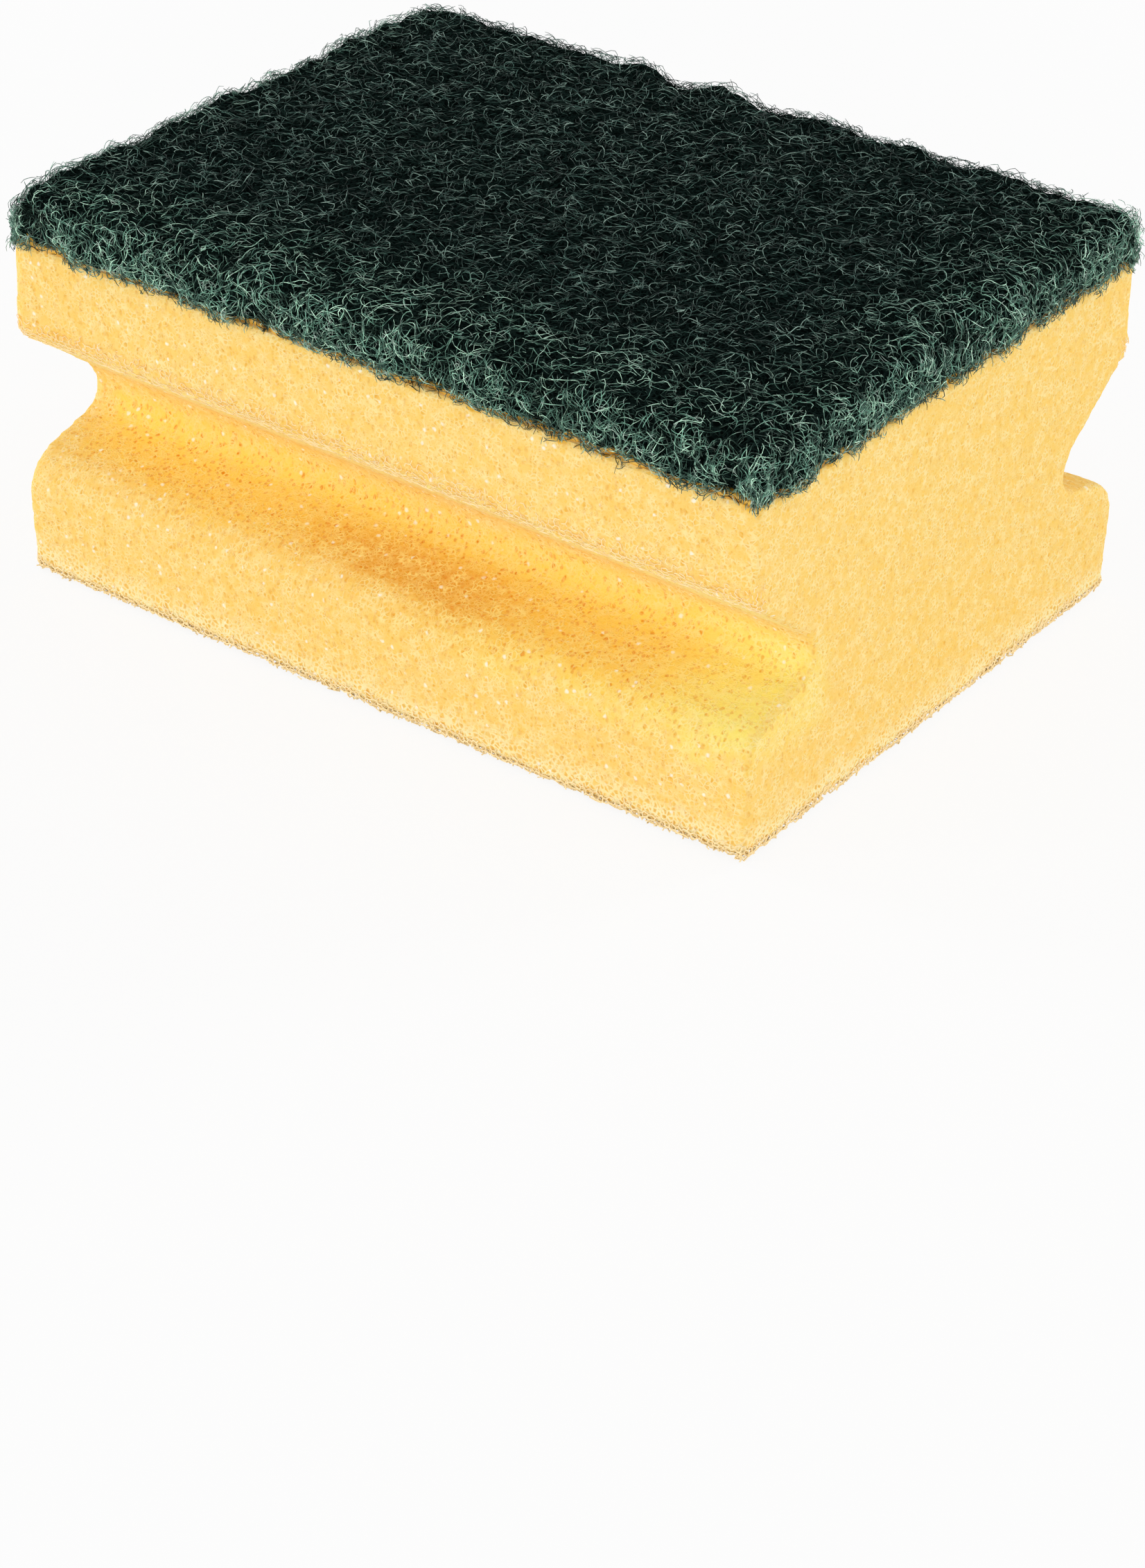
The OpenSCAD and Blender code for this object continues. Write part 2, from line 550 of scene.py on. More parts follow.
foamLook = {
    # pores are painted darker and more orange, standing in for the shade and bounced light inside them
    "pore": (0.84, 0.42, 0.05, 1),
    "middle": (0.96, 0.60, 0.13, 1),
    "strut": (1.0, 0.76, 0.33, 1),
    "openPore": (0.80, 0.46, 0.10, 1),     # along the lower edges the cells stand open; their pits are painted in shade
    # painted light on the rods of the open cells
    "openStrut": (1.0, 0.87, 0.50, 1),
    # painted light: orange tones of the glow in the groove, standing in for bounced light
    "orangePore": (0.80, 0.29, 0.015, 1),
    "orange": (0.98, 0.595, 0.09, 1),
    "orangeStrut": (1.0, 0.73, 0.24, 1),
    "rootOrange": (1.0, 0.70, 0.12, 1),    # painted light: paler orange at the bottom of the groove, making up for the shade there
    "grooveShade": (0.80, 0.36, 0.04, 1),        # painted shade: a browner patch in the middle of the groove
    "bright": (1.0, 0.81, 0.18, 1),        # painted light: a clear yellow glow where the groove runs out, standing in for light coming through the foam from the end
    "brightStrut": (1.0, 0.84, 0.30, 1),
    "lifted": (1.0, 0.79, 0.24, 1),        # painted light: paler underside of the upper lip, against its shade
    # painted highlight of cell windows; the loose struts are also paled towards it
    "paintedSparkle": (1.0, 0.95, 0.82, 1),
    "speck": (0.12, 0.07, 0.02, 1),
    "glue": (0.95, 0.50, 0.05, 1),
    "roughness": 0.7,
    "softRadius": (1.0, 0.6, 0.25),        # how far red, green and blue light wander inside
    "softShare": 0.2,
    "softScale": 2.0 * mm,
    # painted light: the loose struts are paled, to make up for the shade they sit in
    "strutPaleness": 0.3,
    "bumpHeight": 0.07 * mm,
}

# all rates are per metre
cellPattern = {
    "cells": 1900.0,
    "bends": 1500.0,
    "bendSize": 0.45 * mm,
    "behind": (3.1 * mm, 1.7 * mm, 2.3 * mm),    # sets the second net off the first
    "behindScale": 1.35,
    "behindShare": 0.7,
    "strut": (0.04, 0.24, 1.0, 0.0),             # fades read as in foamTintPlan
    "gapRate": 800.0,
    "gaps": (0.35, 0.65, 0.25, 1.0),             # struts that are fainter in patches
    "squash": (1.0, 1.0, 0.6),                   # pores stand taller than they are wide
    "poreSize": (0.2, 0.55, 1.0, 0.0),
    "poreChance": (0.2, 0.8),
    "poreShare": (0.85, 1.0),                    # outside and inside the painted groove glow
    "openCells": 1750.0,
    "openPit": (0.14, 0.34),
    "openRod": (0.06, 0.2, 1.0, 0.0),
    "openPatches": (0.35, 0.6),
    "openReach": (2.6 * mm, 7.5 * mm),           # open cells thin out over this height
    "openWander": (500.0, 4.0 * mm),
    "paintedSparkles": (750.0, 0.52, 0.23),             # painted highlights: rate, rarity and size
    "specks": (300.0, 0.975, 0.05),
    "dotShare": 0.8,
}

# the masks that paint light and shade onto the foam, and where glue soaks in; each pair is where a mask
# starts and where it is full, with its two levels after it if not 0 and 1
foamTintPlan = {
    "patches": (55.0, 3.0, 0.6, 7.0 * mm),       # noise rate, detail, roughness, reach
    "grain": (330.0, 2.0, 0.6, 5.0 * mm),
    "slant": 0.04,                               # the painted orange glow reaches further out to the right
    "inside": (0.0, 4.0 * mm),
    "foot": (8.5 * mm, 13.2 * mm),
    "top": (21.5 * mm, 16.5 * mm),
    "rightEnd": (2.0 * mm, 20.0 * mm),
    "leftEnd": (0.0, 6.0 * mm),
    # where the painted paler orange at the groove's bottom starts
    "root": (5.0 * mm, 10.0 * mm),
    # the painted shade patch in the middle of the groove
    "grooveShadeCentre": 2.0 * mm,
    "grooveShadeAlong": (3.0 * mm, 20.0 * mm, 0.9, 0.0),
    "grooveShadeHeight": (16.2 * mm, 14.8 * mm, 0.15, 1.0),
    # where the painted clear yellow glow sits, near the groove's right end
    "clearInside": (15.0 * mm, 11.0 * mm),
    "clearAlong": (-10.0 * mm, 25.0 * mm),
    "clearAcross": (10.0 * mm, -10.0 * mm),
    "clearEnd": (0.2 * mm, 2.0 * mm, 0.4, 1.0),
    # where painted light pales the underside of the upper lip
    "liftTop": (29.8 * mm, 28.2 * mm),
    "liftFoot": (21.0 * mm, 23.5 * mm),
    "liftInside": (0.0, 0.7 * mm),
    "liftEnds": (foamHigh.x - 0.3 * mm, foamHigh.x - 1.5 * mm),
    "soakReach": (foamHigh.z - 1.4 * mm, foamHigh.z - 0.2 * mm, -0.3, 0.02),
    "soakNoise": 420.0,
    "soakEdge": (0.58, 0.68),
    "soakShare": 0.85,
}


def insideDistance(tree, position):    # how far in from the long sides
    return calculate(tree, "SUBTRACT", foamHigh.y,
                     calculate(tree, "ABSOLUTE", axes(tree, position)["Y"]))


def grooveGlowMasks(tree, position):    # painted light: an orange glow in the groove, away from its ends, standing in for light bounced about inside it
    place = axes(tree, position)
    stray = calculate(tree, "ADD", centredNoise(tree, position, *foamTintPlan["patches"]),
                      centredNoise(tree, position, *foamTintPlan["grain"]))
    inside = insideDistance(tree, position)
    reach = calculate(tree, "ADD", inside, product(tree, place["X"], foamTintPlan["slant"]))
    high = calculate(tree, "ADD", place["Z"], product(tree, stray, 0.5))
    deep = product(tree, fade(tree, calculate(tree, "ADD", reach, stray), *foamTintPlan["inside"]),
                   fade(tree, high, *foamTintPlan["foot"]), fade(tree, high, *foamTintPlan["top"]))
    fromRight = calculate(tree, "SUBTRACT", foamHigh.x, place["X"])
    fromLeft = calculate(tree, "ADD", foamHigh.x, place["X"])
    rightward = fade(tree, calculate(tree, "ADD", fromRight, stray), *foamTintPlan["rightEnd"])
    leftward = fade(tree, calculate(tree, "ADD", fromLeft, stray), *foamTintPlan["leftEnd"])
    # painted light: a clear yellow glow near the groove's right end
    clear = product(tree, deep, fade(tree, inside, *foamTintPlan["clearInside"]),
                    fade(tree, place["X"], *foamTintPlan["clearAlong"]),
                    fade(tree, place["Y"], *foamTintPlan["clearAcross"]),
                    fade(tree, fromRight, *foamTintPlan["clearEnd"]))
    return product(tree, deep, product(tree, rightward, leftward)), clear


def bentPosition(tree, position):
    turn = noiseColour(tree, position, cellPattern["bends"], 1.0)
    shift = stretch(tree, combine(tree, "SUBTRACT", turn, (0.5, 0.5, 0.5)), cellPattern["bendSize"])
    return combine(tree, "ADD", position, shift)


def strutMask(tree, bent, further):    # two nets of bent struts, one behind the other
    nets = []
    for spot, scale in ((bent, 1.0), (further, cellPattern["behindScale"])):
        walls = cellWalls(tree, spot, cellPattern["cells"] * scale)
        patches = noiseValue(tree, spot, cellPattern["gapRate"], 1.0)
        nets.append(product(tree, fade(tree, walls, *cellPattern["strut"]),
                            fade(tree, patches, *cellPattern["gaps"])))
    return calculate(tree, "MAXIMUM", nets[0], product(tree, nets[1], cellPattern["behindShare"]))


def poreMask(tree, bent):
    tall = combine(tree, "MULTIPLY", bent, cellPattern["squash"])
    away, chance = cellSpots(tree, tall, cellPattern["cells"])
    return product(tree, fade(tree, away, *cellPattern["poreSize"]),
                   fade(tree, chance, *cellPattern["poreChance"]))


def foamShade(tree, position, grooveGlow, clear):    # the colour between struts and pores, with the painted glows and shade of the groove and painted light under the upper lip
    look = foamLook
    place = axes(tree, position)
    inside = insideDistance(tree, position)
    # painted light: the clear yellow glow near the right end
    shade = mixColours(tree, clear, look["middle"], look["bright"])
    # painted light: the orange glow of the groove
    shade = mixColours(tree, grooveGlow, shade, look["orange"])
    # painted light: paler orange at the bottom of the groove, against its shade
    rooted = product(tree, grooveGlow, fade(tree, inside, *foamTintPlan["root"]))
    shade = mixColours(tree, rooted, shade, look["rootOrange"])
    # painted shade: a browner patch in the middle of the groove
    fromGrooveShade = calculate(tree, "SUBTRACT", place["X"], foamTintPlan["grooveShadeCentre"])
    fromGrooveShade = calculate(tree, "ABSOLUTE", fromGrooveShade)
    grooveShade = product(tree, grooveGlow, fade(tree, fromGrooveShade, *foamTintPlan["grooveShadeAlong"]),
                    fade(tree, place["Z"], *foamTintPlan["grooveShadeHeight"]))
    shade = mixColours(tree, grooveShade, shade, look["grooveShade"])
    # painted light: the underside of the upper lip is made paler, standing in for light that soaks
    # through the foam of the lip
    fromMiddle = calculate(tree, "ABSOLUTE", place["X"])
    under = product(tree, fade(tree, place["Z"], *foamTintPlan["liftTop"]),
                    fade(tree, place["Z"], *foamTintPlan["liftFoot"]),
                    fade(tree, inside, *foamTintPlan["liftInside"]),
                    fade(tree, fromMiddle, *foamTintPlan["liftEnds"]))
    return mixColours(tree, under, shade, look["lifted"])


def addOpenCells(tree, position, bent, further, colour):    # larger cells along the lower edges, with pits painted in shade and rods painted paler as if lit
    rate, reach = cellPattern["openWander"]
    walls = cellWalls(tree, bent, cellPattern["openCells"])
    uneven = fade(tree, noiseValue(tree, further, 900.0, 1.0), *cellPattern["openPatches"])
    wander = product(tree, noiseValue(tree, position, rate, 2.0), reach)
    height = calculate(tree, "ADD", axes(tree, position)["Z"], wander)
    low = fade(tree, height, *cellPattern["openReach"], 1.0, 0.0)
    pit = product(tree, fade(tree, walls, *cellPattern["openPit"]), product(tree, low, uneven))
    colour = mixColours(tree, pit, colour, foamLook["openPore"])
    rod = product(tree, fade(tree, walls, *cellPattern["openRod"]), low)
    return mixColours(tree, rod, colour, foamLook["openStrut"])


def addDots(tree, bent, colour):    # painted highlights on cell windows, and a few dark specks
    for kind, tone in (("paintedSparkles", "paintedSparkle"), ("specks", "speck")):
        rate, rarity, size = cellPattern[kind]
        away, chance = cellSpots(tree, bent, rate)
        dot = fade(tree, away, size * 0.3, size, 1.0, 0.0)
        dot = product(tree, dot, fade(tree, chance, rarity, rarity + 0.02))
        dot = product(tree, dot, cellPattern["dotShare"])
        colour = mixColours(tree, dot, colour, foamLook[tone])
    return colour


def addSoakedGlue(tree, position, colour):    # in the cells under the pad
    soaked = fade(tree, axes(tree, position)["Z"], *foamTintPlan["soakReach"])
    soaked = calculate(tree, "ADD", soaked, noiseValue(tree, position, foamTintPlan["soakNoise"], 2.0))
    soaked = fade(tree, soaked, *foamTintPlan["soakEdge"])
    return mixColours(tree, product(tree, soaked, foamTintPlan["soakShare"]), colour, foamLook["glue"])


def dullFoam(name):    # what the block and the loose struts share
    material, tree, shader = newMaterial(name)
    shader.inputs["Roughness"].default_value = foamLook["roughness"]
    shader.inputs["Specular IOR Level"].default_value = 0.0
    shader.inputs["Subsurface Radius"].default_value = foamLook["softRadius"]
    return material, tree, shader


def strutShade(tree, grooveGlow, clear):
    # struts in the painted glows: clear yellow near the right end, orange in the groove
    plain = mixColours(tree, clear, foamLook["strut"], foamLook["brightStrut"])
    return mixColours(tree, grooveGlow, plain, foamLook["orangeStrut"])


def strutsMaterial():
    material, tree, shader = dullFoam("foamStruts")
    shade = strutShade(tree, *grooveGlowMasks(tree, objectPosition(tree)))
    # painted light: paler loose struts, against their shade
    pale = mixColours(tree, foamLook["strutPaleness"], shade, foamLook["paintedSparkle"])
    feed(tree, shader.inputs["Base Color"], pale)
    return material


def foamMaterial():
    look = foamLook
    material, tree, shader = dullFoam("openCellFoam")
    position = objectPosition(tree)
    grooveGlow, clear = grooveGlowMasks(tree, position)
    bent = bentPosition(tree, position)
    further = combine(tree, "ADD", bent, cellPattern["behind"])
    strut = strutMask(tree, bent, further)
    pore = poreMask(tree, bent)
    # pores inside the painted groove glow are orange
    poreColour = mixColours(tree, grooveGlow, look["pore"], look["orangePore"])
    shown = fade(tree, grooveGlow, 0.0, 1.0, *cellPattern["poreShare"])
    colour = foamShade(tree, position, grooveGlow, clear)
    # painted shade in the pores
    colour = mixColours(tree, product(tree, pore, shown), colour, poreColour)
    colour = mixColours(tree, strut, colour, strutShade(tree, grooveGlow, clear))
    colour = addOpenCells(tree, position, bent, further, colour)
    colour = addDots(tree, bent, colour)
    colour = addSoakedGlue(tree, position, colour)
    feed(tree, shader.inputs["Base Color"], colour)
    shader.inputs["Subsurface Weight"].default_value = look["softShare"]
    shader.inputs["Subsurface Scale"].default_value = look["softScale"]
    height = calculate(tree, "SUBTRACT", strut, pore)
    bumpInputs = {"Height": height, "Distance": look["bumpHeight"], "Strength": 0.6}
    feed(tree, shader.inputs["Normal"], addNode(tree, "Bump", bumpInputs).outputs[0])
    return material


def triangleSection(name, thickness):
    outline = bpy.data.curves.new(name, "CURVE")
    corners = outline.splines.new("POLY")
    corners.points.add(2)
    for index, point in enumerate(corners.points):
        angle = -2 * math.pi * index / 3
        point.co = (thickness / 2 * math.cos(angle), thickness / 2 * math.sin(angle), 0, 1)
    corners.use_cyclic_u = True
    return addObject(name, outline)


def tubesToPiece(name, paths, thickness, swells=None):    # closed three-sided tubes
    section = triangleSection(name + "Section", thickness)
    curve = bpy.data.curves.new(name, "CURVE")
    curve.dimensions = "3D"
    curve.bevel_mode = "OBJECT"
    curve.bevel_object = section
    curve.use_fill_caps = True
    for index, path in enumerate(paths):
        spline = curve.splines.new("POLY")
        spline.points.add(len(path) - 1)
        spline.points.foreach_set("co", np.column_stack([path, np.ones(len(path))]).ravel())
        if swells is not None:
            swell = np.full(len(path), swells[index])
            swell[[0, -1]] *= 0.6    # the ends are thinner
            spline.points.foreach_set("radius", swell)
    strand = addObject(name + "Curve", curve)
    bpy.context.view_layer.update()
    graph = bpy.context.evaluated_depsgraph_get()
    mesh = bpy.data.meshes.new_from_object(strand.evaluated_get(graph))
    for spare in (strand, section):
        bpy.data.objects.remove(spare)
    bm = bmesh.new()
    bm.from_mesh(mesh)
    bmesh.ops.remove_doubles(bm, verts=bm.verts, dist=1e-7)
    bpy.data.meshes.remove(mesh)
    return finishMesh(name, bm)


foamBlock = makeFoamBlock()
foamBlock.data.materials.clear()
foamBlock.data.materials.append(foamMaterial())
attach(foamBlock, "root")
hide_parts("foam_body")
report(foamBlock)

strutMaterial = strutsMaterial()
foamSeed = np.random.default_rng(57)
baseStruts, lipStruts = netStruts(foamSeed, foamBlock)
cellGroups = {
    "foamCellNet": (baseStruts, cellPlan["thickness"]),
    "foamLipCells": (lipStruts, cellPlan["lipThickness"]),
    "foamEdgeCells": (latticeStruts(foamSeed), cellPlan["thickness"]),
}
for name, (struts, thickness) in cellGroups.items():
    print(name, "has", len(struts), "struts")
    cells = tubesToPiece(name, joinStruts(struts), thickness)
    for face in cells.data.polygons:
        face.use_smooth = False    # real struts have sharp ribs
    cells.data.materials.append(strutMaterial)
    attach(cells, "root")
    report(cells)
print("the foam block is cut")


# the amber bond between foam and pad

filmPlan = {
    "columns": 100,
    "rows": 74,
    "inset": 0.2 * mm,          # how far the rim lies in on average
    "ragged": 0.9 * mm,         # how far it wanders
    "raggedLength": 1.6 * mm,
    "furthestOut": 0.2 * mm,
    "climb": 2.2 * mm,          # how far glue creeps up between the fibres
    "climbLength": 1.1 * mm,
    "rimShare": 0.98,           # the rim starts here, as a share of the half size
    "thin": (0.75, 0.36, 0.03, 1),
    "thick": (1.0, 0.64, 0.10, 1),
    "patches": 600.0,           # per metre
    "roughness": 0.35,
}


def makeBondFilm():
    plan = filmPlan
    bm = bmesh.new()
    bmesh.ops.create_grid(bm, x_segments=plan["columns"], y_segments=plan["rows"], size=0.5)
    size = filmHigh - filmLow
    for vert in bm.verts:
        spot = Vector((vert.co.x * size.x, vert.co.y * size.y, 0))
        wander = plan["ragged"] * noise.noise(spot / plan["raggedLength"]) - plan["inset"]
        vert.co = spot * (1 + min(wander, plan["furthestOut"]) * 2 / size.y)
    grown = bmesh.ops.extrude_face_region(bm, geom=list(bm.faces))
    upper = [item for item in grown["geom"] if isinstance(item, bmesh.types.BMVert)]
    bmesh.ops.translate(bm, verts=upper, vec=(0, 0, size.z))
    for vert in upper:
        if max(abs(vert.co.x) / filmHigh.x, abs(vert.co.y) / filmHigh.y) > plan["rimShare"]:
            vert.co.z += plan["climb"] * max(0.0, noise.noise(vert.co / plan["climbLength"]))
    bmesh.ops.translate(bm, verts=bm.verts, vec=(0, 0, filmLow.z))
    return finishMesh("bondFilm", bm)


def bondMaterial():
    material, tree, shader = newMaterial("amberBond")
    patches = noiseValue(tree, objectPosition(tree), filmPlan["patches"], 2.0)
    colour = mixColours(tree, patches, filmPlan["thin"], filmPlan["thick"])
    feed(tree, shader.inputs["Base Color"], colour)
    shader.inputs["Roughness"].default_value = filmPlan["roughness"]
    return material


bondFilm = makeBondFilm()
bondFilm.data.materials.append(bondMaterial())
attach(bondFilm, "root")
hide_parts("bond_film")
report(bondFilm)


# the scouring pad

padPlan = {
    "edgeRadius": 2.5 * mm,     # how the web rolls over at its top edge
    "coreDepth": 0.6 * mm,      # how deep the near-black core, painted shade inside the web, lies under the web's outer skin
    "coreVoxel": 0.9 * mm,
    "coreFoot": 3.0 * mm,       # edges of the core that reach above this are rounded
    "coreGrain": (0.35 * mm, 1.6 * mm),    # height and length of its fine unevenness
    "swell": 0.25 * mm,         # slow rise and fall of the web
    "lump": 0.28 * mm,          # quicker rise and fall
    "lumpyEdge": 9.0 * mm,      # how wide the lumpy border is
    "flatShare": 0.3,           # how much of the lumps is left on top
    "hang": 0.7 * mm,           # how far the web reaches down over the foam
    "hem": (0.4 * mm, 0.3 * mm),           # how far its lower rim wanders, slowly and by strand
}

# what all strands share, with lengths in mm
strandPlan = {
    "crimp": (0.2, 0.8),        # how far a strand swings to its sides, in radians
    "crimpLength": (3.0, 7.0),
    "waveLength": (1.8, 5.0),   # how long its dips below the skin are
    "curlSpread": 0.7,
    "steady": 0.85,             # share of the last turn that a strand keeps
    "stray": 0.45,
    "depthPower": 0.8,
    "thicknessSpread": (0.75, 1.2),
    "fewestPoints": 3,
}


padField = rippleField(np.random.default_rng(11), 14, 5.0 * mm, 22.0 * mm)
rimField = rippleField(np.random.default_rng(12), 14, 2.0 * mm, 9.0 * mm)
evenSteps = np.array([0.7548776662, 0.5698402910])    # powers of the plastic ratio spread evenly


def webRise(plan):    # the web is lumpy along its edges and flatter on top
    fromEdge = np.minimum(padHigh.x - np.abs(plan[..., 0]), padHigh.y - np.abs(plan[..., 1]))
    share = np.clip(1 - fromEdge / padPlan["lumpyEdge"], padPlan["flatShare"], 1)
    return share * (padPlan["swell"] * padField(plan) + padPlan["lump"] * rimField(plan))


def wrapOntoPad(plan, depth):    # plan positions are laid over the pad's top and down its sides
    radius = padPlan["edgeRadius"]
    inner = np.array([padHigh.x - radius, padHigh.y - radius])
    middle = np.clip(plan, -inner, inner)
    away = plan - middle
    reach = np.linalg.norm(away, axis=-1)
    outward = away / np.maximum(reach, 1e-9)[..., None]
    angle = np.minimum(reach / radius, math.pi / 2)
    drop = np.maximum(reach - radius * math.pi / 2, 0)
    deep = depth - webRise(plan)
    lateral = (radius - deep) * np.sin(angle)
    height = padHigh.z - radius + (radius - deep) * np.cos(angle) - drop
    flat = middle + outward * lateral[..., None]
    return np.concatenate([flat, height[..., None]], axis=-1), reach


def spreadStarts(rng, look, inner, sideReach):    # evenly spread plan positions in one zone
    low, high = look["zone"]         # shares of the way from the inner plan to the lower rim
    starts = []
    share = rng.random(2)
    while len(starts) < look["count"]:
        share = (share + evenSteps) % 1.0
        spot = (share * 2 - 1) * (inner + sideReach)
        reach = np.linalg.norm(spot - np.clip(spot, -inner, inner))
        if low * sideReach <= reach <= high * sideReach:
            starts.append(spot)
    return np.array(starts)


def growFibres(rng, look):
    radius = padPlan["edgeRadius"]
    inner = np.array([padHigh.x - radius, padHigh.y - radius])
    sideReach = radius * math.pi / 2 + padHigh.z - radius - padLow.z + padPlan["hang"]
    plan = [spreadStarts(rng, look, inner, sideReach)]
    count = look["count"]
    shallow, deepest = look["depth"]
    curl = look["curl"]
    heading = rng.uniform(0, 2 * math.pi, count)
    bend = rng.choice([-1, 1], count) * rng.lognormal(math.log(curl), strandPlan["curlSpread"], count)
    crimp = rng.uniform(*strandPlan["crimp"], count)
    crimpLength = rng.uniform(*strandPlan["crimpLength"], count) * mm
    depth = shallow + (deepest - shallow) * rng.random(count) ** strandPlan["depthPower"]
    wave = rng.uniform(*look["wave"], count)
    waveLength = rng.uniform(*strandPlan["waveLength"], count) * mm
    phase = rng.uniform(0, 2 * math.pi, count)
    steady = strandPlan["steady"]
    turn = bend.copy()
    for index in range(look["steps"]):
        stray = rng.normal(0, curl * strandPlan["stray"], count)
        turn = steady * turn + (1 - steady) * bend + stray
        heading = heading + turn * look["step"] / mm
        swing = crimp * np.sin(2 * math.pi * index * look["step"] / crimpLength + phase)
        step = np.stack([np.cos(heading + swing), np.sin(heading + swing)], axis=1) * look["step"]
        plan.append(plan[-1] + step)
    plan = np.stack(plan, axis=1)
    travel = np.arange(look["steps"] + 1) * look["step"]
    sway = np.sin(2 * math.pi * travel[None, :] / waveLength[:, None] + phase[:, None])
    points, reach = wrapOntoPad(plan, depth[:, None] + wave[:, None] * sway)
    slowHem, strandHem = padPlan["hem"]
    limit = sideReach + slowHem * rimField(plan) + rng.normal(0, strandHem, count)[:, None]
    fibres = []
    for path, inside in zip(points, reach < limit):
        end = rng.integers(look["steps"] // 2 + 1, look["steps"] + 2)
        end = end if inside.all() else min(end, int(np.argmin(inside)))
        if end >= strandPlan["fewestPoints"]:
            fibres.append(path[:end])
    return fibres


fibreGroups = {
    "webTop": {"zone": (0.0, 1.0), "count": 5000, "steps": 8, "step": 0.5 * mm, "curl": 0.4,
               "depth": (-0.1 * mm, 0.35 * mm), "wave": (0.1 * mm, 0.35 * mm),
               "thickness": 0.07 * mm},
    "webMiddle": {"zone": (0.0, 1.0), "count": 5000, "steps": 8, "step": 0.58 * mm, "curl": 0.4,
                  "depth": (0.1 * mm, 0.6 * mm), "wave": (0.1 * mm, 0.35 * mm),
                  "thickness": 0.075 * mm},
    "edgeFuzz": {"zone": (0.3, 0.94), "count": 7000, "steps": 6, "step": 0.42 * mm, "curl": 0.5,
                 "depth": (-0.35 * mm, 0.7 * mm), "wave": (0.1 * mm, 0.4 * mm),
                 "thickness": 0.078 * mm},
    "seamFringe": {"zone": (0.8, 1.0), "count": 5600, "steps": 4, "step": 0.36 * mm, "curl": 0.9,
                   "depth": (-0.15 * mm, 0.5 * mm), "wave": (0.05 * mm, 0.2 * mm),
                   "thickness": 0.1 * mm},
}


def unwrapPlan(point):    # the plan position that wrapOntoPad lays at this point
    radius = padPlan["edgeRadius"]
    inner = Vector((padHigh.x - radius, padHigh.y - radius))
    middle = Vector((max(-inner.x, min(inner.x, point.x)), max(-inner.y, min(inner.y, point.y))))
    away = point.xy - middle
    above = point.z - (padHigh.z - radius)
    reach = radius * math.atan2(away.length, max(above, 1e-6)) + max(-above, 0.0)
    return np.array(middle + away.normalized() * reach)


def coreUnevenness(point):    # the same lumps as the strands over it, and finer ones
    height, length = padPlan["coreGrain"]
    return webRise(unwrapPlan(point)) + height * noise.noise(point / length)


# a near-black body under the strands, standing in for the shade inside the web
def makePadShadeCore():
    inset = padPlan["coreDepth"]
    size = padHigh - padLow
    bm = bmesh.new()
    bmesh.ops.create_cube(bm, size=1.0)
    bmesh.ops.scale(bm, verts=bm.verts,
                    vec=(size.x - 2 * inset, size.y - 2 * inset, size.z - inset))
    bmesh.ops.translate(bm, verts=bm.verts, vec=(0, 0, padLow.z + (size.z - inset) / 2))
    foot = padLow.z + padPlan["coreFoot"]
    rounded = [edge for edge in bm.edges if max(vert.co.z for vert in edge.verts) > foot]
    bmesh.ops.bevel(bm, geom=rounded, offset=padPlan["edgeRadius"] - inset, segments=4, profile=0.5,
                    affect="EDGES", material=-1)
    shadeCore = remeshed("padShadeCore", bm, padPlan["coreVoxel"], 0)
    pushVertices(shadeCore, coreUnevenness)
    for vert in shadeCore.data.vertices:
        vert.co.z = max(vert.co.z, padLow.z)
    return shadeCore


webLook = {
    "dark": (0.017, 0.036, 0.031, 1),
    "middle": (0.054, 0.125, 0.108, 1),
    "pale": (0.18, 0.29, 0.255, 1),
    "paintedGlint": (0.50, 0.62, 0.55, 1),     # painted highlight where a strand seems to catch the light
    # painted shade: near-black, standing in for the shade deep in the web
    "shadeCore": (0.0015, 0.003, 0.0027, 1),
    "plain": (0.85, 0.85, 0.85, 1),      # painted shade: tint of the strands on top, darker than the painted light of the edges
    "rim": (3.1, 3.05, 2.75, 1),         # painted light along the edges
    "dim": (0.55, 0.55, 0.55, 1),        # painted light and shade vary along each strand
    "lit": (2.25, 2.15, 2.05, 1),
    "roughness": 0.32,
    "gloss": 0.16,
    "middleChance": (0.1, 0.85),         # each strand has its own chance, from 0 to 1
    "paleChance": (0.65, 1.0),
    "shadeRate": 1100.0,                 # all rates are per metre
    "shadeEdge": (0.38, 0.6),
    "glintLean": 0.12,                   # painted highlights: strands with a high chance glint more
    "glintEdge": (0.62, 0.74),
    "glintShare": (0.0, 0.8, 0.4, 0.9),
    "skin": (0.0, 0.9 * mm, 1.0, 0.1),   # painted shade: strands go dark over this depth
    # where painted light makes the strands along the edges paler
    "rimReach": (20.0 * mm, -2.0 * mm),
    "rimPast": 2.5 * mm,                 # how much further off the right edge counts
    "rimWander": (110.0, 2.0, 0.5, 12.0 * mm),
    "rimCurve": 1.6,
    "leftRim": (padLow.x + 8.0 * mm, padLow.x, 0.0, 0.4),
    "seam": (filmLow.z - 0.4 * mm, filmHigh.z + 1.2 * mm, 0.3, 1.0),
    # the nets of deeper strands
    "netBends": (500.0, 2.5 * mm),
    "netRates": (1200.0, 1900.0),
    "netWalls": (0.02, 0.09, 1.0, 0.0),
    "netPatches": 700.0,
    "netShare": 0.6,
}


def webDepth(tree, position):    # how far a point lies under the web's outer skin
    radius = padPlan["edgeRadius"]
    size = addNode(tree, "VectorMath", {0: position}, operation="ABSOLUTE").outputs[0]
    over = combine(tree, "SUBTRACT", size, (padHigh.x - radius, padHigh.y - radius, padHigh.z - radius))
    over = combine(tree, "MAXIMUM", over, (0, 0, 0))
    away = addNode(tree, "VectorMath", {0: over}, operation="LENGTH").outputs["Value"]
    return calculate(tree, "SUBTRACT", radius, away)


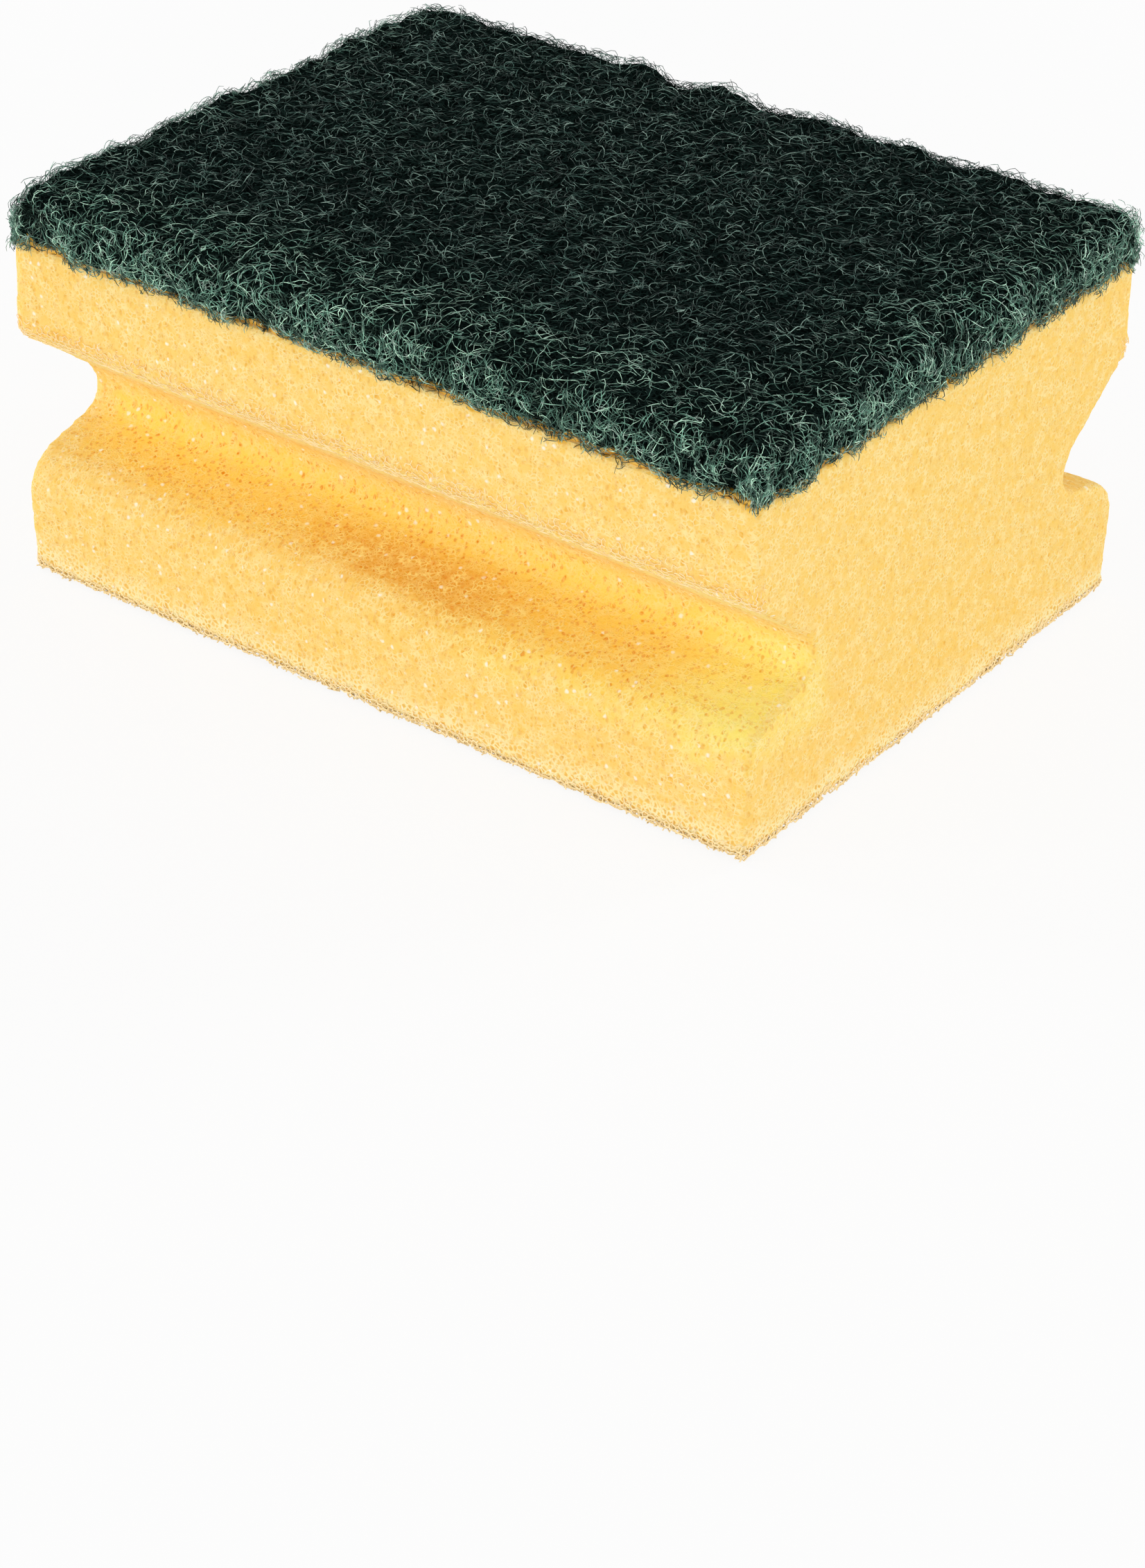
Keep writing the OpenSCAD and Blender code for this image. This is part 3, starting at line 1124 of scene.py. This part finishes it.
def rimShare(tree, position):    # painted light: 1 along the front and right edges, less on the left and at the seam
    look = webLook
    place = axes(tree, position)
    fromFront = calculate(tree, "SUBTRACT", place["Y"], padLow.y)
    fromRight = calculate(tree, "SUBTRACT", padHigh.x + look["rimPast"], place["X"])
    away = calculate(tree, "MINIMUM", fromFront, fromRight)
    away = calculate(tree, "ADD", away, centredNoise(tree, position, *look["rimWander"]))
    near = calculate(tree, "POWER", fade(tree, away, *look["rimReach"]), look["rimCurve"])
    rim = calculate(tree, "MAXIMUM", near, fade(tree, place["X"], *look["leftRim"]))
    return product(tree, rim, fade(tree, place["Z"], *look["seam"]))


def webMaterial():
    look = webLook
    material, tree, shader = newMaterial("webFibre")
    position = objectPosition(tree)
    chance = tree.nodes.new("ShaderNodeNewGeometry").outputs["Random Per Island"]
    rim = rimShare(tree, position)
    colour = mixColours(tree, fade(tree, chance, *look["middleChance"]), look["dark"], look["middle"])
    colour = mixColours(tree, fade(tree, chance, *look["paleChance"]), colour, look["pale"])
    # painted light along the front and right edges, painted shade on top
    tint = mixColours(tree, rim, look["plain"], look["rim"])
    colour = mixColours(tree, 1.0, colour, tint, "MULTIPLY")
    # painted light and shade along each strand
    along = noiseValue(tree, position, look["shadeRate"], 2.0, 0.6)
    uneven = mixColours(tree, fade(tree, along, *look["shadeEdge"]), look["dim"], look["lit"])
    colour = mixColours(tree, 1.0, colour, uneven, "MULTIPLY")
    # painted highlights on the strands
    glint = calculate(tree, "ADD", along, product(tree, chance, look["glintLean"]))
    glint = product(tree, fade(tree, glint, *look["glintEdge"]), fade(tree, rim, *look["glintShare"]))
    colour = mixColours(tree, glint, colour, look["paintedGlint"])
    # painted shade: deeper strands go dark
    shown = fade(tree, webDepth(tree, position), *look["skin"])
    colour = mixColours(tree, shown, look["shadeCore"], colour)
    feed(tree, shader.inputs["Base Color"], colour)
    shader.inputs["Roughness"].default_value = look["roughness"]
    feed(tree, shader.inputs["Specular IOR Level"], product(tree, shown, look["gloss"]))
    return material


def shadeCoreMaterial():    # painted shade: deeper strands, drawn as two tangled nets on a near-black body that stands in for the shade inside the web
    look = webLook
    material, tree, shader = newMaterial("webShadeCore")
    position = objectPosition(tree)
    bendRate, bendSize = look["netBends"]
    shift = stretch(tree, noiseColour(tree, position, bendRate, 2.0), bendSize)
    bent = combine(tree, "ADD", position, shift)
    nets = [fade(tree, cellWalls(tree, bent, rate), *look["netWalls"]) for rate in look["netRates"]]
    strand = calculate(tree, "MAXIMUM", nets[0], product(tree, nets[1], look["netShare"]))
    strand = product(tree, strand, noiseValue(tree, position, look["netPatches"], 1.0))
    colour = mixColours(tree, strand, look["shadeCore"], look["dark"])
    feed(tree, shader.inputs["Base Color"], colour)
    shader.inputs["Roughness"].default_value = 0.9
    shader.inputs["Specular IOR Level"].default_value = 0.0
    return material


padShadeCore = makePadShadeCore()
padShadeCore.data.materials.clear()
padShadeCore.data.materials.append(shadeCoreMaterial())
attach(padShadeCore, "root")
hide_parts("scouring_pad")
report(padShadeCore)

fibreMaterial = webMaterial()
rng = np.random.default_rng(364)
for name, look in fibreGroups.items():
    fibres = growFibres(rng, look)
    swells = rng.uniform(*strandPlan["thicknessSpread"], len(fibres))
    web = tubesToPiece(name, fibres, look["thickness"], swells)
    web.data.materials.append(fibreMaterial)
    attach(web, "root")
    report(web)
print("the scouring web is laid")
